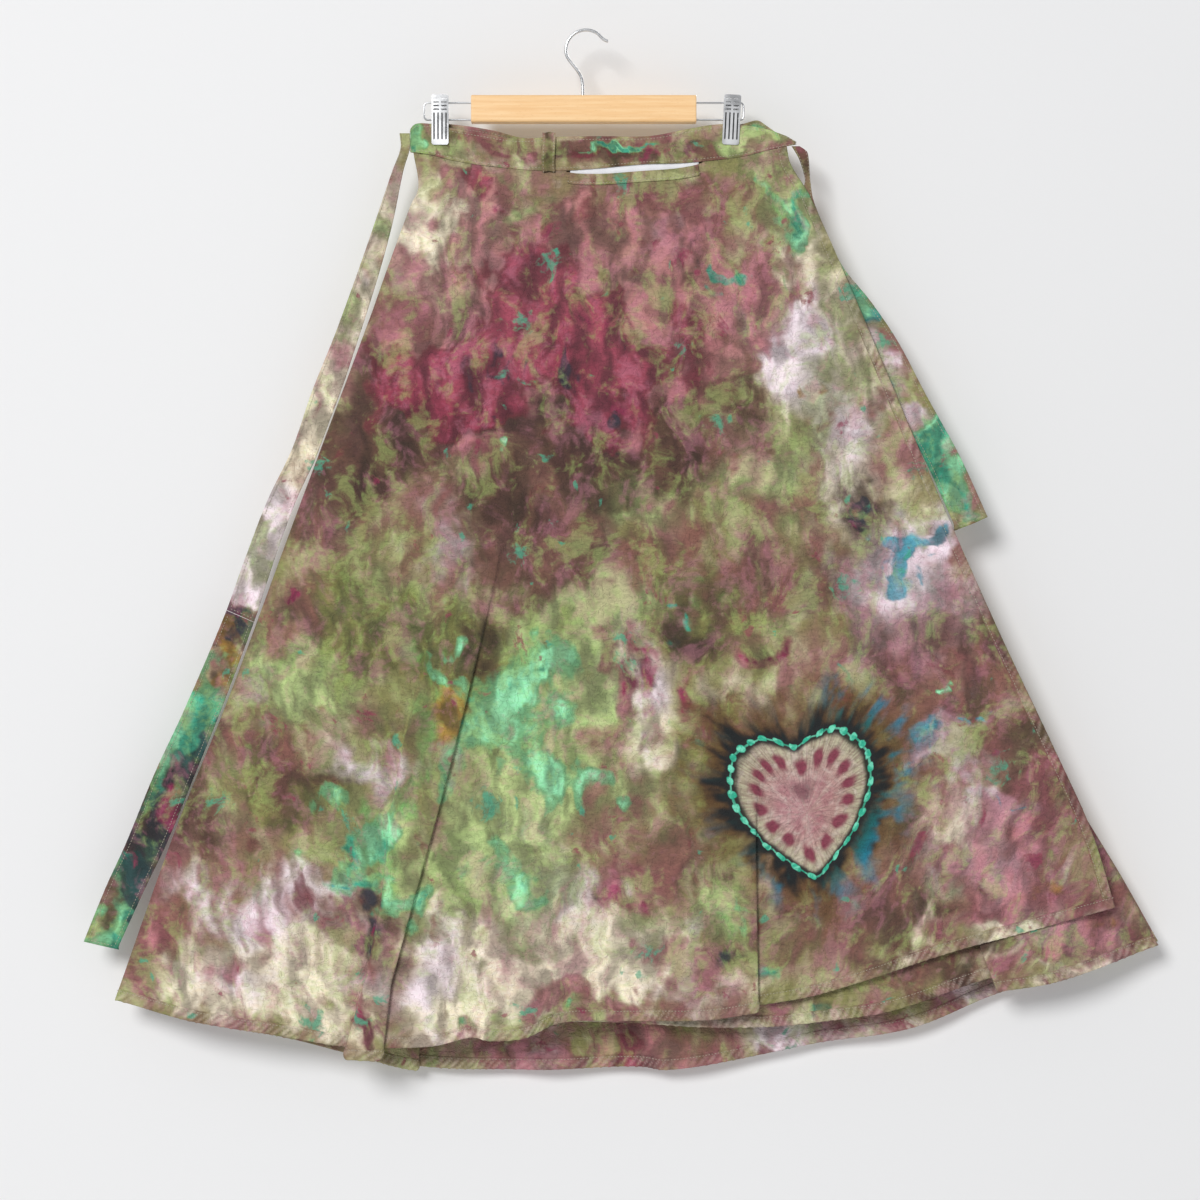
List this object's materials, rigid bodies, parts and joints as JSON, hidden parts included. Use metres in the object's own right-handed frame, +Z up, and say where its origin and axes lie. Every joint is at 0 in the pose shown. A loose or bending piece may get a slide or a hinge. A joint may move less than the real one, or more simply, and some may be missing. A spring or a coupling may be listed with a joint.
{
  "type": "wrap skirt on clip hanger",
  "caption": "Long hand-dyed cotton wrap skirt with waist ties, pleats and a heart motif, hanging flat from a wooden clip hanger.",
  "frame": {"origin": "inner crest of the hanger's hook, where it hangs on a rail", "axes": "+X to the right as the skirt is looked at, +Z up, the front faces -Y"},
  "size_m": [1.0805, 0.0544, 1.0494],
  "materials": {
    "dyed_cotton": "crinkled plain-weave cotton, blotch-dyed",
    "white_stay": "undyed smooth tape",
    "beech": "satin lacquer",
    "bright_steel": "polished"
  },
  "bodies": {
    "root": {"front_panel": "dyed_cotton", "underlap_panel": "dyed_cotton", "back_panel": "dyed_cotton", "waistband_front": "dyed_cotton", "waistband_underlap": "dyed_cotton", "waistband_back": "dyed_cotton", "belt_loop": "dyed_cotton", "slit_welt": "dyed_cotton", "slit_stay": "white_stay", "tie_left_upper": "dyed_cotton", "tie_left_lower": "dyed_cotton", "tie_right": "dyed_cotton", "hanger_bar": "beech", "hanger_hook": "bright_steel", "wire_loop_left": "bright_steel", "wire_loop_right": "bright_steel", "clip_left_front_jaw": "bright_steel", "clip_left_back_jaw": "bright_steel", "clip_left_spring": "bright_steel", "clip_right_front_jaw": "bright_steel", "clip_right_back_jaw": "bright_steel", "clip_right_spring": "bright_steel"}
  },
  "joints": []
}
